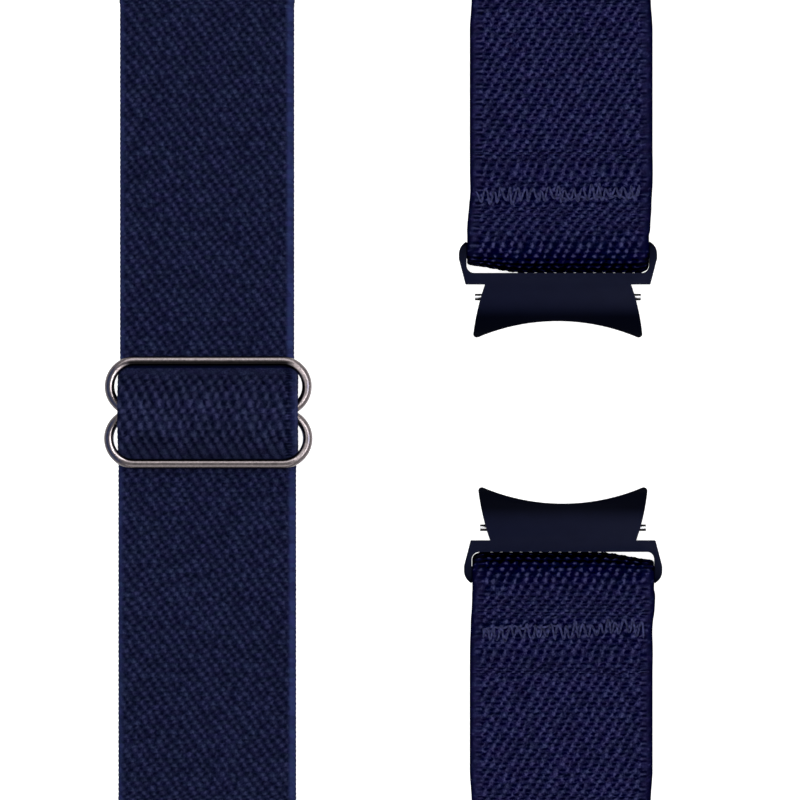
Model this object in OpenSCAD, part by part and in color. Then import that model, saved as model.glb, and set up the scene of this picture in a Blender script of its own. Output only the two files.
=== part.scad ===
// Elastic woven watch strap with a wire slide adjuster and two curved-end spring-bar adapters.
// It lies flat, face up: the left column holds the adjuster, the right column holds the two ends
// with the watch's place between them, and two cross rows join the columns under 45 degree folds.
// Millimetres. +Z is up, +Y runs along the columns, and the origin is at the bottom centre.

/* [Webbing] */
// Width of the webbing
web_w = 23.2; // [18:0.2:26]
// Thickness of the webbing
web_t = 1.2; // [0.9:0.1:1.5]
// Air between two layers that lie on each other
layer_gap = 0.1; // [0.06:0.01:0.2]

/* [Lay-out] */
// Distance between the centre lines of the two columns
column_pitch = 45.6; // [42:0.2:60]
// Distance from the middle of the strap to the inner edge of each cross row
row_inner_y = 57; // [55:0.2:80]
// How far the adjuster and the middle of the watch's place sit below the middle of the strap
middle_drop = 1.6; // [0:0.1:2]
// Length of the ramp where a column climbs over a cross row
ramp_len = 4.8; // [4.6:0.1:8]

/* [Slide adjuster] */
// How much wider than the webbing the wire frame is, along the bars
slider_extra_w = 3.5; // [3:0.1:6]
// Overall height of the wire frame, across the bars
slider_h = 14.5; // [14:0.1:18]
// Diameter of the wire
wire_d = 1.25; // [1:0.01:1.4]
// Distance between the axes of the two wires that make the centre bar
wire_split = 0.2; // [0.1:0.02:0.3]
// Space between the centre bar and the webbing sewn round it
loop_clear = 0.05; // [0.03:0.01:0.15]
// Length of the sewn flap past the centre bar
loop_flap_len = 2.6; // [2.4:0.1:2.8]
// Distance from an outer bar to where the passing webbing is cut from its neighbours
hump_margin = 1.45; // [1.2:0.05:2]

/* [Strap ends] */
// Distance between the two crossbars, across the watch's place
bar_spacing = 41.76; // [36:0.01:50]
// How far each sewn end sits to one side of its column's centre line
end_shift = 0.33; // [0:0.01:0.4]
// Distance from the crossbar to the near edge of the sewing
sewing_start = 5.8; // [5.4:0.1:7]
// Width of the sewing along the strap
sewing_len = 3.4; // [2.4:0.1:4]
// Length of the flap past the sewing
flap_margin = 0.5; // [0.4:0.1:1]
// Length over which the front layer steps down to the table past the flap
step_len = 3.3; // [3.2:0.1:4]
// Thickness of the sewing thread on the surface
thread_d = 0.26; // [0.2:0.01:0.35]
// Number of zigzag stitches across the strap
zigzag_count = 14; // [9:1:25]
// How far the free tail's end stays short of the fold
tail_margin = 0.15; // [0.1:0.05:4]

/* [Adapter] */
// Diameter of the crossbar
bar_d = 2.1; // [1.6:0.1:2.4]
// Space between the crossbar and the webbing wrapped round it
bar_clear = 0.1; // [0.06:0.01:0.2]
// Space between the wrapped webbing and the slot's lower edge
slot_clear = 0.55; // [0.3:0.05:1]
// Space between the webbing's edge and each ear
slot_side_clear = 0.2; // [0.15:0.05:0.5]
// Corner radius of the slot
slot_corner_r = 1.0; // [0.5:0.1:1.4]
// Width of each ear at the crossbar
ear_wall = 0.97; // [0.8:0.01:1.5]
// Radius of each ear's rounded end, seen from the side
ear_r = 1.35; // [1.25:0.05:1.6]
// Radius of each ear's outer corner
ear_corner_r = 1.78; // [1.4:0.02:1.8]
// How far each side draws in between the ear and the shoulder
shoulder_draw = 0.87; // [0.4:0.01:1.2]
// Height of solid metal between the slot and the shoulder
shoulder_web = 1.46; // [1.2:0.01:2]
// Width of the neck at the shoulder, just under the watch's lug width
neck_w = 18.8; // [16:0.1:20]
// Widest part of the two fangs
fang_w = 21.7; // [18:0.1:22.5]
// Distance from the shoulder to the widest part of the fangs
neck_len = 5.94; // [5:0.01:7]
// Radius of the neck's flaring sides
flare_r = 30; // [20:1:60]
// Radius of the concave end, in plan
case_r = 26.5; // [20:0.5:40]
// Distance from the shoulder to the deepest point of the concave end
arc_depth = 4.74; // [4.5:0.01:6]
// Radius of each fang's tip
fang_tip_r = 0.45; // [0.3:0.01:0.6]
// Height of the face above the crossbar's axis
face_rise = 1.7; // [1.5:0.05:1.9]
// Distance past the shoulder at which the face starts to curve down
face_flat_len = 1.1; // [0.5:0.1:2]
// Radius of the face's curve towards the concave end
face_r = 7.5; // [6:0.1:12]

/* [Spring bar] */
// Distance from the shoulder to the spring bar's axis
pin_from_shoulder = 1.64; // [1.5:0.01:1.9]
// How far the spring bar's axis lies below the crossbar's axis
pin_drop = 0.25; // [0.1:0.01:0.4]
// Outer diameter of the tube
tube_d = 1.8; // [1.6:0.05:1.8]
// Wall of the tube
tube_wall = 0.25; // [0.2:0.05:0.3]
// Length of the tube
tube_len = 18.6; // [16:0.1:18.8]
// Length over both tips
tips_len = 21.4; // [20.8:0.1:21.8]
// Diameter of each tip
tip_d = 0.86; // [0.7:0.01:0.9]
// Radial clearance of the tube in the adapter's bore
bore_clear = 0.1; // [0.06:0.01:0.15]
// Radial clearance of the plunger in the tube
run_clear = 0.05; // [0.03:0.01:0.08]
// Travel of the sprung tip
tip_travel = 1.0; // [0.8:0.1:1.2]
// Thickness of the tube's closed end
tube_end_t = 0.5; // [0.4:0.1:0.8]
// Diameter of the release lever
lever_d = 0.7; // [0.5:0.05:0.8]
// Distance from the middle of the spring bar to the release lever
lever_x = 4.6; // [4.2:0.1:6]
// How far the lever reaches below the spring bar's axis
lever_reach = 1.85; // [1.6:0.05:1.95]
// Length of the plunger's guided part behind the lever
plunger_tail = 1.1; // [0.8:0.1:2]
// Diameter of the spring's wire
spring_wire_d = 0.2; // [0.14:0.02:0.24]
// Turns of the spring
spring_turns = 12; // [8:1:16]

/* [Hidden] */
$fn = 96;

// Levels of the stacked layers
level = web_t + layer_gap;
fold_r = level / 2;
fold_steps = 8;
// Sideways and lengthways shift that a 45 degree fold gives the webbing
fold_shift = PI * fold_r / sqrt(2);
fold_y = row_inner_y - fold_shift;
ramp_start_y = fold_y - ramp_len;
// Segments of a smooth step, and the level part at each of its ends
step_count = 12;
step_flat = 0.2;
eps = 0.01;

// Overall width of the wire frame
slider_w = web_w + slider_extra_w;

// Plan places of the columns
ear_half = web_w / 2 + slot_side_clear + ear_wall;
left_x = -(column_pitch + end_shift + ear_half - slider_w / 2) / 2;
right_x = left_x + column_pitch;
middle_y = -middle_drop;

// Slide adjuster
wire_r = wire_d / 2;
ring_r = (slider_h - wire_d - wire_split) / 4;
ring_y = wire_split / 2 + ring_r;
outer_bar_y = ring_y + ring_r;
bar_half = slider_w / 2 - wire_r - ring_r;
slider_z = 2 * level + wire_r;
loop_in_r = wire_r + wire_split / 2 + loop_clear;
hump_top_z = slider_z + loop_in_r + web_t + layer_gap;
hump_half = outer_bar_y + hump_margin;
hump_start = outer_bar_y + wire_r;
loop_end_y = hump_half;
pass_y = outer_bar_y - wire_r;
hump_flat = 0.5;
// Width of the webbing that is gathered round the centre bar, clear of the rings' bends
loop_w = 2 * bar_half + wire_d;
// Part of the flap that is sewn down, from the centre bar's axis
loop_sewing = [0.9, 2.5];

// Sewn ends
wrap_in_r = bar_d / 2 + bar_clear;
wrap_out_r = wrap_in_r + web_t;
bar_z = wrap_out_r;
bar_reach = bar_spacing / 2;
flap_len = sewing_start + sewing_len + flap_margin;
end_len = flap_len + step_len;
thread_margin = 1.0;
// Width of a stitch against the thickness of its thread
stitch_ratio = 1.6;
// Segments of the tail's ramp that its hem stitches cover
hem_segments = 3;

// Adapter, measured from the crossbar's axis towards the watch
slot_w = web_w + 2 * slot_side_clear;
slot_edge_y = wrap_out_r + slot_clear;
shoulder_y = slot_edge_y + shoulder_web;
fang_y = shoulder_y + neck_len;
arc_y = shoulder_y + arc_depth;
pin_y = shoulder_y + pin_from_shoulder;
pin_z = -pin_drop;
// Air between the adapter's underside and the table
under_gap = 0.05;
under_z = -bar_z + under_gap;
face_y = shoulder_y + face_flat_len;

// Spring bar
bore_d = tube_d + 2 * bore_clear;
tube_bore_d = tube_d - 2 * tube_wall;
plunger_d = tube_bore_d - 2 * run_clear;
plunger_start_x = lever_x - plunger_tail;
lever_slot_w = lever_d + 2 * run_clear;
lever_slot_back = lever_x - tip_travel - lever_slot_w / 2 - run_clear;
lever_slot_len = tip_travel + lever_slot_w + 2 * run_clear;
spring_start_x = -tube_len / 2 + tube_end_t;

webbing_colour = "#1a1d3c";
thread_colour = "#2a2c52";
wire_colour = "#8f8785";
adapter_colour = "#15182a";
steel_colour = "#c9c9cc";

// Eased step from 0 to 1
function ease(u) = (1 - cos(180 * u)) / 2;

// Points of a smooth step from (a, za) to (b, zb), level for a short way at both ends
function step_points(a, za, b, zb) =
    let (flat = step_flat * sign(b - a), c = a + flat, d = b - flat, n = step_count)
    concat([[a, za]], [for (i = [0:n]) [c + (d - c) * i / n, za + (zb - za) * ease(i / n)]], [[b, zb]]);

// Unit normal on the left of the path's segment that starts at point i, held within the path
function left_normal(p, i) =
    let (k = max(0, min(i, len(p) - 2)), d = p[k + 1] - p[k]) [-d[1], d[0]] / norm(d);

// The path moved to its left by d, with mitred joins, so that a band keeps its thickness
function offset_path(p, d) =
    [for (i = [0:len(p) - 1])
        let (n = left_normal(p, i - 1) + left_normal(p, i)) p[i] + 2 * d * n / (n * n)];

function reversed(p) = [for (i = [len(p) - 1:-1:0]) p[i]];

// Outline of a band that runs along a path, between two heights above it
function band(p, low, high) = concat(offset_path(p, low), reversed(offset_path(p, high)));

// A YZ outline extruded along X, centred on X
module across(width) {
    rotate([90, 0, 90]) linear_extrude(width, center = true) children();
}

// Webbing along a YZ path, which is the path of its underside
module webbing(path) {
    across(web_w) polygon(band(path, 0, web_t));
}

// Intersection of two circles, the one further along +X
function circles_meet(c1, r1, c2, r2) =
    let (d = c2 - c1, l = norm(d), a = (l * l + r1 * r1 - r2 * r2) / (2 * l),
        h = sqrt(r1 * r1 - a * a), m = c1 + a * d / l, s = h * [-d[1], d[0]] / l)
    (m + s)[0] > (m - s)[0] ? m + s : m - s;

// Underside of a column where it climbs over its cross row
column_ramp = step_points(ramp_start_y, 0, fold_y, level);

module place_column(x, up) {
    translate([x, 0, 0]) if (up) children(); else mirror([0, 1, 0]) children();
}

// The 45 degree fold: the column on top turns down and under, and leaves towards +X
fold_apex = web_w / sqrt(2);
function fold_rungs() = concat(
    [[0, -fold_apex, fold_apex, fold_apex]],
    [for (k = [0:fold_steps]) let (f = 180 * k / fold_steps, q = PI * fold_r * k / fold_steps)
        [f, 0, q, q + web_w * sqrt(2)]],
    [[180, -fold_apex, fold_apex + PI * fold_r, fold_apex + PI * fold_r]]);

// A point of the fold: n is across the fold line, p along it, side is 0 outside and 1 inside
function fold_point(rung, p, side) =
    let (f = rung[0], r = fold_r + (side == 0 ? 1 : -1) * web_t / 2,
        n = rung[1] + r * sin(f), z = level / 2 + web_t / 2 + r * cos(f))
    [(p - n) / sqrt(2), (p + n) / sqrt(2), z];

// Four points of a rung: outside low, outside high, inside low, inside high
function rung_points(rung) = [for (side = [0, 1], p = [rung[2], rung[3]]) fold_point(rung, p, side)];

module corner_fold() {
    rungs = fold_rungs();
    last = len(rungs) - 1;
    inner = [for (i = [1:last - 1]) each rung_points(rungs[i])];
    tips = [for (i = [0, last], side = [0, 1]) fold_point(rungs[i], rungs[i][2], side)];
    n = len(inner);
    body = [for (i = [0:last - 3], k = [0:3])
        let (a = 4 * i, b = 4 * (i + 1),
            quads = [[a, a + 1, b + 1, b], [a + 3, a + 2, b + 2, b + 3],
                [a + 2, a, b, b + 2], [a + 1, a + 3, b + 3, b + 1]])
        each [[quads[k][0], quads[k][1], quads[k][2]], [quads[k][0], quads[k][2], quads[k][3]]]];
    e = n - 4;
    first_tip = [[n, 1, 0], [n + 1, 2, 3], [n, 0, 2], [n, 2, n + 1], [n, n + 1, 3], [n, 3, 1]];
    last_tip = [[n + 2, e, e + 1], [n + 3, e + 3, e + 2], [n + 2, e + 2, e],
        [n + 2, n + 3, e + 2], [n + 2, e + 3, n + 3], [n + 2, e + 1, e + 3]];
    polyhedron(points = concat(inner, tips), faces = concat(body, first_tip, last_tip));
}

// Corner of the strap, with its column at x, its cross row towards the other column
module corner(x, right, up) {
    color(webbing_colour)
    mirror([right ? 1 : 0, 0, 0]) mirror([0, up ? 0 : 1, 0])
        translate([(right ? -x : x) - web_w / 2, fold_y, 0]) corner_fold();
}

module cross_row(up) {
    row_x = left_x + web_w / 2 + fold_shift;
    color(webbing_colour)
    translate([row_x, up ? row_inner_y : -row_inner_y - web_w, 0])
        cube([right_x - left_x - web_w - 2 * fold_shift, web_w, web_t]);
}

// One ring of the adjuster, its inner bar just above the X axis
module ring_half() {
    intersection() {
        union() {
            for (y = [wire_split / 2, outer_bar_y])
                translate([0, y, 0]) rotate([0, 90, 0])
                    cylinder(h = 2 * bar_half, r = wire_r, center = true);
            for (side = [0, 1])
                mirror([side, 0, 0]) translate([bar_half, ring_y, 0]) rotate([0, 0, -90])
                    rotate_extrude(angle = 180) translate([ring_r, 0]) circle(wire_r);
        }
        translate([-slider_w, 0, -wire_d]) cube([2 * slider_w, slider_h, 2 * wire_d]);
    }
}

module slide_frame() {
    color(wire_colour)
    translate([left_x, middle_y, slider_z]) {
        ring_half();
        mirror([0, 1, 0]) ring_half();
    }
}

// Lower webbing where it passes over the centre bar and under both outer bars
module strap_over_slider() {
    path = concat(
        [[-hump_half, 0]],
        step_points(-hump_start, 0, -hump_flat, hump_top_z),
        step_points(hump_flat, hump_top_z, pass_y, level),
        [[hump_half, level]]);
    color(webbing_colour) translate([left_x, middle_y, 0]) webbing(path);
}

// Half of a ring on the side of -X, reaching just past its flat side
module half_ring(inner, outer) {
    difference() {
        circle(outer);
        circle(inner);
        translate([eps, -2 * outer]) square(4 * outer);
    }
}

// Underside of the upper webbing where it rises to the centre bar
loop_rise_z = slider_z - loop_in_r - web_t;
loop_rise = step_points(pass_y, 0, 0, loop_rise_z);
// Underside of its flap, which bends down from the bar to the top of the rising layer
loop_top_z = slider_z + loop_in_r;
loop_flap_z = level + loop_rise_z * ease((pass_y - loop_flap_len) / pass_y);
loop_flap = [for (i = [0:step_count])
    [loop_flap_len * i / step_count, loop_top_z - (loop_top_z - loop_flap_z) * (1 - cos(90 * i / step_count))]];

module slider_loop() {
    color(webbing_colour) translate([left_x, middle_y, 0]) {
        across(web_w) polygon(band(concat([[loop_end_y, 0]], loop_rise), -web_t, 0));
        across(loop_w) {
            polygon(band(loop_flap, 0, web_t));
            translate([0, slider_z]) half_ring(loop_in_r, loop_in_r + web_t);
        }
    }
}

// A row of parallel stitches that follow a YZ path on the webbing's surface
module stitch_row(path, count) {
    pitch = (web_w - 2 * thread_margin) / (count - 1);
    for (i = [0:count - 1])
        translate([-web_w / 2 + thread_margin + i * pitch, 0, 0])
            across(stitch_ratio * thread_d) polygon(path);
}

module slider_loop_sewing() {
    path = [for (p = loop_rise) if (p[0] > loop_sewing[0] && p[0] < loop_sewing[1]) p];
    color(thread_colour) translate([left_x, middle_y, 0])
        stitch_row(band(path, 0, thread_d), zigzag_count);
}

module upper_column() {
    path = concat([[middle_y + loop_end_y, 0]], column_ramp);
    color(webbing_colour) translate([left_x, 0, 0]) webbing(path);
}

// Underside of the free tail, which lies on the upper column
tail_end_y = fold_y - tail_margin;
tail_ramp = [for (p = offset_path(column_ramp, level)) if (p[0] < tail_end_y) p];
tail_path = concat([[middle_y + hump_half, level]], tail_ramp,
    [[tail_end_y, tail_ramp[len(tail_ramp) - 1][1]]]);
module free_tail() {
    color(webbing_colour) translate([left_x, 0, 0]) webbing(tail_path);
}

module tail_hem_sewing() {
    top = offset_path(tail_path, web_t);
    last = len(top) - 2;
    path = [for (i = [last - hem_segments:last]) top[i]];
    color(thread_colour) translate([left_x, 0, 0])
        stitch_row(band(path, 0, thread_d), zigzag_count);
}

module lower_column() {
    path = concat([[-middle_y + hump_half, 0]], column_ramp);
    color(webbing_colour) place_column(left_x, false) webbing(path);
}

// Right column between its fold and the sewn end: the upper one has the longer way to go
function run_start(up) = (up ? middle_y : -middle_y) + bar_reach + end_len;
module run(up) {
    color(webbing_colour) place_column(right_x, up)
        webbing(concat([[run_start(up), 0]], column_ramp));
}

// Places an end's pieces: its own +Y points to the watch and its origin is under the crossbar
module place_end(up) {
    translate([right_x + (up ? -end_shift : end_shift), middle_y + (up ? bar_reach : -bar_reach), 0])
        rotate([0, 0, up ? 180 : 0]) children();
}

// Underside of the front layer, from the cut end to the top of the crossbar
front_path = concat(
    step_points(-end_len, 0, -flap_len, level),
    step_points(-sewing_start, level, 0, bar_z + wrap_in_r));

module end_loop(up) {
    color(webbing_colour) place_end(up) {
        webbing(front_path);
        across(web_w) {
            translate([-flap_len, 0]) square([flap_len, web_t]);
            translate([0, bar_z]) mirror([1, 0]) half_ring(wrap_in_r, wrap_out_r);
        }
    }
}

// Zigzag thread that lies on the front layer and holds the flap under it
module end_sewing(up) {
    half = web_w / 2 - thread_margin;
    reach = sewing_len - thread_d;
    points = [for (i = [0:2 * zigzag_count])
        [-half + i * half / zigzag_count, -sewing_start - sewing_len + thread_d / 2 + (i % 2) * reach]];
    color(thread_colour) place_end(up) translate([0, 0, level + web_t]) linear_extrude(thread_d)
        polygon(band(points, -thread_d / 2, thread_d / 2));
}

// Plan of the adapter: the crossbar ends where it meets the ears' outer corners
corner_x = ear_half - ear_corner_r;
corner_y = ear_corner_r - ear_r;
bar_end_x = corner_x + sqrt(ear_corner_r * ear_corner_r - pow(corner_y + bar_d / 2, 2));
neck_half = neck_w / 2;
fang_half = fang_w / 2;
flare_chord = [fang_half - neck_half, neck_len];
flare_centre = [neck_half, shoulder_y] + flare_chord / 2
    + sqrt(flare_r * flare_r - flare_chord * flare_chord / 4)
    * [-flare_chord[1], flare_chord[0]] / norm(flare_chord);
case_centre = [0, arc_y + case_r];
tip_centre = circles_meet(flare_centre, flare_r - fang_tip_r, case_centre, case_r + fang_tip_r);
tip_touch = case_centre + (tip_centre - case_centre) * case_r / (case_r + fang_tip_r);

module head_plan() {
    shoulder_half = ear_half - shoulder_draw;
    polygon([[corner_x, -ear_r], [ear_half, corner_y], [ear_half, bar_d / 2],
        [shoulder_half, shoulder_y], [-shoulder_half, shoulder_y], [-ear_half, bar_d / 2],
        [-ear_half, corner_y], [-corner_x, -ear_r]]);
    for (side = [-1, 1]) translate([side * corner_x, corner_y]) circle(ear_corner_r);
}

module neck_plan() {
    intersection() {
        translate(flare_centre) circle(flare_r);
        translate([-flare_centre[0], flare_centre[1]]) circle(flare_r);
        translate([-fang_w, shoulder_y - shoulder_web / 2])
            square([2 * fang_w, tip_centre[1] - shoulder_y + shoulder_web / 2]);
    }
    polygon([tip_centre, tip_touch, [-tip_touch[0], tip_touch[1]], [-tip_centre[0], tip_centre[1]]]);
    for (side = [-1, 1]) translate([side * tip_centre[0], tip_centre[1]]) circle(fang_tip_r);
}

module slot_plan() {
    inner_x = slot_w / 2 - slot_corner_r;
    translate([-slot_w / 2, -2 * bar_d]) square([slot_w, slot_edge_y - slot_corner_r + 2 * bar_d]);
    translate([-inner_x, 0]) square([2 * inner_x, slot_edge_y]);
    for (side = [-1, 1])
        translate([side * inner_x, slot_edge_y - slot_corner_r]) circle(slot_corner_r);
}

module adapter_plan() {
    difference() {
        union() {
            head_plan();
            neck_plan();
        }
        slot_plan();
        translate(case_centre) circle(case_r);
    }
}

// Side view of the adapter: rounded ears, a flat shoulder and a face that curves down
module adapter_side() {
    far = 2 * fang_y;
    circle(ear_r);
    polygon([[0, ear_r], [slot_edge_y, face_rise], [face_y, face_rise], [face_y, under_z],
        [slot_edge_y, under_z], [0, -ear_r]]);
    intersection() {
        translate([face_y, face_rise - face_r]) circle(face_r);
        translate([face_y - eps, under_z]) square([far - face_y, face_rise - under_z]);
    }
}

module adapter(up) {
    color(adapter_colour) place_end(up) translate([0, 0, bar_z]) {
        difference() {
            intersection() {
                translate([0, 0, -bar_z]) linear_extrude(2 * bar_z) adapter_plan();
                across(3 * ear_half) adapter_side();
            }
            translate([0, pin_y, pin_z]) rotate([0, 90, 0])
                cylinder(h = 2 * fang_w, d = bore_d, center = true);
            translate([lever_slot_back, pin_y - lever_slot_w / 2, -bar_z])
                cube([lever_slot_len, lever_slot_w, bar_z + pin_z]);
        }
        rotate([0, 90, 0]) cylinder(h = 2 * bar_end_x, d = bar_d, center = true);
    }
}

// Places what lies on a spring bar's axis: its own +X is along the bar, to the sprung tip
module place_bar(up) {
    place_end(up) translate([0, pin_y, bar_z + pin_z]) children();
}

// A rod along X from a to b
module rod(a, b, d) {
    translate([a, 0, 0]) rotate([0, 90, 0]) cylinder(h = b - a, d = d);
}

module bar_tube(up) {
    color(steel_colour) place_bar(up) {
        difference() {
            rod(-tube_len / 2, tube_len / 2, tube_d);
            rod(-tube_len / 2 + tube_end_t, tube_len, tube_bore_d);
            translate([lever_slot_back, -lever_slot_w / 2, -tube_d])
                cube([lever_slot_len, lever_slot_w, tube_d]);
        }
        rod(-tips_len / 2, -tube_len / 2, tip_d);
    }
}

module bar_plunger(up) {
    color(steel_colour) place_bar(up) difference() {
        union() {
            rod(plunger_start_x, tube_len / 2, plunger_d);
            rod(tube_len / 2, tips_len / 2, tip_d);
        }
        translate([lever_x, 0, -plunger_d]) cylinder(h = plunger_d, d = lever_d);
    }
}

module release_lever(up) {
    color(steel_colour) place_bar(up)
        translate([lever_x, 0, -lever_reach]) cylinder(h = lever_reach, d = lever_d);
}

// Coil spring between the tube's closed end and the plunger
module bar_spring(up) {
    sides = 5;
    per_turn = 8;
    rings = spring_turns * per_turn;
    coil_r = (tube_bore_d - spring_wire_d) / 2 - run_clear;
    start = spring_start_x + spring_wire_d;
    span = plunger_start_x - spring_wire_d - start;
    points = [for (i = [0:rings], k = [0:sides - 1])
        let (a = 360 * i / per_turn, r = coil_r + spring_wire_d / 2 * cos(360 * k / sides))
        [start + span * i / rings + spring_wire_d / 2 * sin(360 * k / sides), r * cos(a), r * sin(a)]];
    skin = [for (i = [0:rings - 1], k = [0:sides - 1])
        let (a = i * sides + k, b = i * sides + (k + 1) % sides, c = a + sides, d = b + sides)
        each [[a, b, d], [a, d, c]]];
    first_cap = [for (k = [1:sides - 2]) [0, k + 1, k]];
    last_cap = [for (k = [1:sides - 2]) let (n = rings * sides) [n, n + k, n + k + 1]];
    color(steel_colour) place_bar(up)
        polyhedron(points = points, faces = concat(skin, first_cap, last_cap));
}

slide_frame();
strap_over_slider();
slider_loop();
slider_loop_sewing();
upper_column();
free_tail();
tail_hem_sewing();
lower_column();
corner(left_x, false, true);  // top_left_fold
cross_row(true);  // top_row
corner(right_x, true, true);  // top_right_fold
run(true);  // upper_run
end_loop(true);  // upper_end_loop
end_sewing(true);  // upper_end_sewing
corner(left_x, false, false);  // bottom_left_fold
cross_row(false);  // bottom_row
corner(right_x, true, false);  // bottom_right_fold
run(false);  // lower_run
end_loop(false);  // lower_end_loop
end_sewing(false);  // lower_end_sewing
adapter(true);  // upper_adapter
bar_tube(true);  // upper_bar_tube
bar_plunger(true);  // upper_bar_plunger
bar_spring(true);  // upper_bar_spring
release_lever(true);  // upper_release_lever
adapter(false);  // lower_adapter
bar_tube(false);  // lower_bar_tube
bar_plunger(false);  // lower_bar_plunger
bar_spring(false);  // lower_bar_spring
release_lever(false);  // lower_release_lever
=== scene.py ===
"""Looks of an elastic woven watch strap with a wire slide adjuster and two curved-end adapters.

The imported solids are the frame. Every webbing piece is rebuilt as a woven sheet with real relief, laid
along the same path as its solid, and the metal parts get their finishes.
"""

import math
import random

import bpy
import numpy as np
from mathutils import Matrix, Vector


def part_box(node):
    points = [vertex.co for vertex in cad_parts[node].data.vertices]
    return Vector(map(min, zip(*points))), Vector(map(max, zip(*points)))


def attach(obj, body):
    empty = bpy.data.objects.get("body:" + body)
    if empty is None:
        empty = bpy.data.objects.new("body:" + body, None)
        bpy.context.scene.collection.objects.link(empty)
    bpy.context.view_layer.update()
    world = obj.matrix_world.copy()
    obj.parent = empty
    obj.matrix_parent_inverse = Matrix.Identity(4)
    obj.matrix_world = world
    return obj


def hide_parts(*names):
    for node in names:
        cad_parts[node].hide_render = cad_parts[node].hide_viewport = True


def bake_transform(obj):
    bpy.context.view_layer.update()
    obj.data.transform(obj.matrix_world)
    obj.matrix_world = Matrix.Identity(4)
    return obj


bl_info = {
    "name": "Elastic watch strap",
    "version": (1, 0, 0),
    "blender": (4, 5, 0),
    "location": "View3D > Sidebar > Watch strap",
    "description": "Woven elastic watch strap with a wire slide adjuster and curved-end adapters",
    "category": "Object",
}

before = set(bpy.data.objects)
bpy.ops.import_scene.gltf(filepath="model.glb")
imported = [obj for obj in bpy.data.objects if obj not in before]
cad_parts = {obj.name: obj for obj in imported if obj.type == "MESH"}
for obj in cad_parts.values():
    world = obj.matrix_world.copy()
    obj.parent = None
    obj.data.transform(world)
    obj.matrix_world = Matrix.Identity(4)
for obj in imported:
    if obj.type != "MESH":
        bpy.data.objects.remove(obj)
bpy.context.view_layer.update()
MM = 0.001

# Sizes that the solids have, in millimetres. One layer of webbing lies LEVEL above the next.
WEB_W = 23.2
WEB_T = 1.2
LEVEL = 1.3
FOLD_R = LEVEL / 2
FOLD_SHIFT = math.pi * FOLD_R / math.sqrt(2)
ROW_Y = 57.0
FOLD_Y = ROW_Y - FOLD_SHIFT
RAMP_Y = FOLD_Y - 4.8
LEFT_X, RIGHT_X, MIDDLE_Y = -22.675, 22.925, -1.6
WIRE_R = 0.625
WIRE_SPLIT = 0.2
RING_R = 3.2625
RING_Y = WIRE_SPLIT / 2 + RING_R
BAR_Y = RING_Y + RING_R
BAR_HALF = 9.4625
SLIDER_Z = 2 * LEVEL + WIRE_R
LOOP_IN_R = WIRE_R + WIRE_SPLIT / 2 + 0.05
LOOP_W = 2 * BAR_HALF + 2 * WIRE_R
HUMP_TOP = SLIDER_Z + LOOP_IN_R + WEB_T + 0.1
HUMP_HALF = BAR_Y + 1.45
HUMP_START = BAR_Y + WIRE_R
PASS_Y = BAR_Y - WIRE_R
HUMP_FLAT = 0.5
FLAP_LEN = 2.6
BAR_REACH = 20.88
BAR_Z = 2.35
WRAP_R = 1.15
SEW_START, SEW_LEN, FLAP_MARGIN, STEP_LEN = 5.8, 3.4, 0.5, 3.3
END_FLAP = SEW_START + SEW_LEN + FLAP_MARGIN
END_LEN = END_FLAP + STEP_LEN
END_SHIFT = 0.33
UPPER_END = (RIGHT_X - END_SHIFT, MIDDLE_Y + BAR_REACH)
LOWER_END = (RIGHT_X + END_SHIFT, MIDDLE_Y - BAR_REACH)
TAIL_END_Y = FOLD_Y - 0.15

# Where the picture shows a piece a little to the right of its solid, and half each ring's bars
RUN_X = RIGHT_X + 0.125
OVER_SHIFT = 0.13
EAR_SHIFT = 0.08
WIRE_X = LEFT_X + 0.18
TOP_HALF, LOW_HALF = BAR_HALF, BAR_HALF + 0.09

# Where the left column widens to its solids, out of the picture, and where its loop's weave starts
TAIL_WIDENS = (44, 48)
LOW_WIDENS = (41, 45)
LOOP_WEAVE_Y = 60

# Mesh cells of the sheets, across and along
LEFT_CELL = (0.19, 0.14)
RIGHT_CELL = (0.16, 0.09)
OVER_CELL = (0.18, 0.09)
COVERED_CELL = (0.25, 0.2)
ROW_CELL = (0.24, 0.19)
SHEET_EDGE_R = 0.45
SHEET_MARGIN = 0.06

# Points of a thread from one corner to the next, how high it bows up and how deep it starts
STITCH_POINTS = 8
STITCH_RISE, STITCH_SUNK = 0.26, 0.2

# The picture's width and middle, the camera's height and the height that is to scale
FRAME_W = 103.2
VIEW_X = 2.225
VIEW_HEIGHT = 1200
SCALE_HEIGHT = 2.5
SENSOR = 36


def linear(code):
    """An sRGB hex colour as linear RGBA."""
    values = [int(code[i : i + 2], 16) / 255 for i in (0, 2, 4)]
    return [v / 12.92 if v <= 0.04045 else ((v + 0.055) / 1.055) ** 2.4 for v in values] + [1.0]


def size(name, text, default, **more):
    """A length in metres."""
    return bpy.props.FloatProperty(
        name=name, description=text, default=default, unit="LENGTH", precision=5, min=0.0, **more
    )


def colour(name, text, code):
    """A colour, from its sRGB hex code."""
    return bpy.props.FloatVectorProperty(
        name=name, description=text, default=linear(code), size=4, subtype="COLOR", min=0.0, max=1.0
    )


class StrapSizes(bpy.types.PropertyGroup):
    left_width: size("Left width", "Width of the left column above the adjuster", 0.0225)
    left_low_width: size("Left lower width", "Width of the left column below the adjuster", 0.023)
    over_width: size("Width over the adjuster", "Width where it passes over the bars", 0.02325)
    right_width: size("Right width", "Width of the webbing in the right column", 0.02365)
    left_relief: size("Left relief", "Height of the knots of the left webbing", 0.00012)
    right_relief: size("Right relief", "Height of the knots of the right webbing", 0.00014)
    thread_radius: size("Thread radius", "Radius of the sewing thread", 0.00015)
    edge_radius: size("Edge radius", "Rounding of the adapters' edges", 0.00012)


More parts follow.
